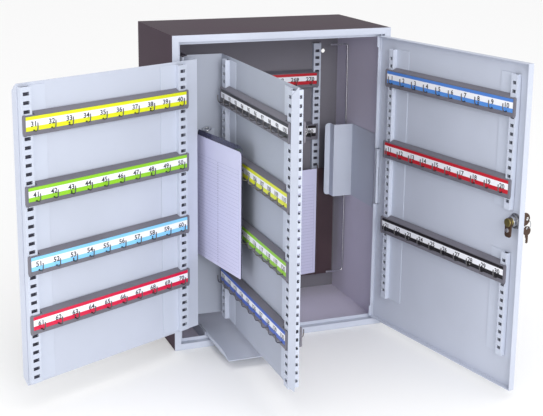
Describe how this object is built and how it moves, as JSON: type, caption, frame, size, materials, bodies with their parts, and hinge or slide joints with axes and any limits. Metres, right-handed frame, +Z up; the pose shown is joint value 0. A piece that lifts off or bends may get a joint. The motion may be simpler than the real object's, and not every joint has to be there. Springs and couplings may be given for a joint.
{
  "type": "key cabinet",
  "caption": "Wall-hung steel key cabinet with an inset lockable door and two hinged inner leaves carrying numbered bars of key hooks on every face.",
  "frame": {"origin": "centre of the rear wall's outer face, which lies against the building's wall", "axes": "+Y points into the building's wall, +Z up, +X to the right seen from the front"},
  "size_m": [0.7628, 0.5812, 0.55],
  "materials": {
    "cabinet_paint": "satin light lavender grey",
    "strip_paint": "satin light lavender grey",
    "bar_plastic": "matt dark brownish grey",
    "dark_paint": "satin dark brown",
    "brass": "satin",
    "brown_steel": "dark brown",
    "paper": "matt ruled pages",
    "cover_plastic": "dark brown, glossy",
    "grey_steel": "grey",
    "steel": "bright"
  },
  "bodies": {
    "cabinet": {"casing_wrap": "cabinet_paint", "front_frame": "cabinet_paint", "hinge_frame_leaf": "steel", "hinge_pin": "steel", "leaf_stop_bracket": "cabinet_paint", "ledge_guide": "cabinet_paint", "pivot_bracket_bottom": "dark_paint", "pivot_bracket_top": "dark_paint", "rear_bar_1": "bar_plastic", "rear_bar_2": "bar_plastic", "rear_index_board": "cover_plastic", "rear_strip_left": "strip_paint", "rear_strip_right": "strip_paint", "rear_wall": "cabinet_paint", "wire_bail": "steel"},
    "door": {"door_bar_1": "bar_plastic", "door_bar_2": "bar_plastic", "door_bar_3": "bar_plastic", "door_panel": "cabinet_paint", "door_strip_hinge": "strip_paint", "door_strip_lower": "strip_paint", "door_strip_upper": "strip_paint", "hinge_door_leaf": "steel", "lock_body": "steel", "lock_nut": "steel", "lock_rosette": "grey_steel"},
    "lock": {"lock_plug": "brass", "lock_cam": "brown_steel", "key_in_lock": "brass"},
    "key_ring": {"key_ring": "steel"},
    "spare_key": {"spare_key": "brown_steel"},
    "leaf_1": {"leaf_1_back_bar_1": "bar_plastic", "leaf_1_back_bar_2": "bar_plastic", "leaf_1_back_bar_3": "bar_plastic", "leaf_1_back_bar_4": "bar_plastic", "leaf_1_back_strip_free": "strip_paint", "leaf_1_back_strip_hinge": "strip_paint", "leaf_1_front_bar_1": "bar_plastic", "leaf_1_front_bar_2": "bar_plastic", "leaf_1_front_strip_free": "strip_paint", "leaf_1_front_strip_hinge": "strip_paint", "leaf_1_panel": "cabinet_paint"},
    "leaf_2": {"index_cover": "cover_plastic", "index_holder": "dark_paint", "index_ring": "steel", "leaf_2_back_bar_1": "bar_plastic", "leaf_2_back_bar_2": "bar_plastic", "leaf_2_back_strip_free": "strip_paint", "leaf_2_back_strip_hinge": "strip_paint", "leaf_2_front_bar_1": "bar_plastic", "leaf_2_front_bar_2": "bar_plastic", "leaf_2_front_bar_3": "bar_plastic", "leaf_2_front_bar_4": "bar_plastic", "leaf_2_front_strip_free": "strip_paint", "leaf_2_front_strip_hinge": "strip_paint", "leaf_2_panel": "cabinet_paint"},
    "index_page": {"index_page": "paper"},
    "rear_page": {"rear_index_page": "paper"},
    "ledge": {"ledge": "cabinet_paint"}
  },
  "joints": [
    {"name": "door_swing", "type": "hinge", "parent": "cabinet", "child": "door", "pos_m": [0.183, -0.2165, 0], "axis": [0, 0, 1], "range_deg": [-50, 10]},
    {"name": "lock_turn", "type": "hinge", "parent": "door", "child": "lock", "pos_m": [0.24663, -0.56321, 0.014], "axis": [-0.9836, -0.1805, 0], "range_deg": [0, 90]},
    {"name": "key_ring_swing", "type": "hinge", "parent": "lock", "child": "key_ring", "pos_m": [0.2727, -0.55842, 0.014], "axis": [-0.1805, 0.9836, 0], "range_deg": [-20, 8]},
    {"name": "spare_key_swing", "type": "hinge", "parent": "key_ring", "child": "spare_key", "pos_m": [0.2727, -0.55842, -0.001], "axis": [-0.1805, 0.9836, 0], "range_deg": [-10, 10]},
    {"name": "leaf_1_swing", "type": "hinge", "parent": "cabinet", "child": "leaf_1", "pos_m": [-0.1745, -0.1983, 0], "axis": [0, 0, -1], "range_deg": [-154.7, 3]},
    {"name": "leaf_2_swing", "type": "hinge", "parent": "cabinet", "child": "leaf_2", "pos_m": [-0.1848, -0.1783, 0], "axis": [0, 0, -1], "range_deg": [-90.8, 1.8]},
    {"name": "index_page_swing", "type": "hinge", "parent": "leaf_2", "child": "index_page", "pos_m": [-0.15147, -0.19924, 0], "axis": [0, 0, -1], "range_deg": [0, 3]},
    {"name": "rear_page_swing", "type": "hinge", "parent": "cabinet", "child": "rear_page", "pos_m": [0.147, -0.0315, -0.124], "axis": [0, 0, 1], "range_deg": [-7.5, 5]},
    {"name": "ledge_slide", "type": "slide", "parent": "cabinet", "child": "ledge", "axis": [0, 1, 0], "range_m": [0, 0.115]}
  ],
  "couplings": [
    {"joint": "leaf_2_swing", "follows": "leaf_1_swing", "ratio": 0.58662}
  ]
}
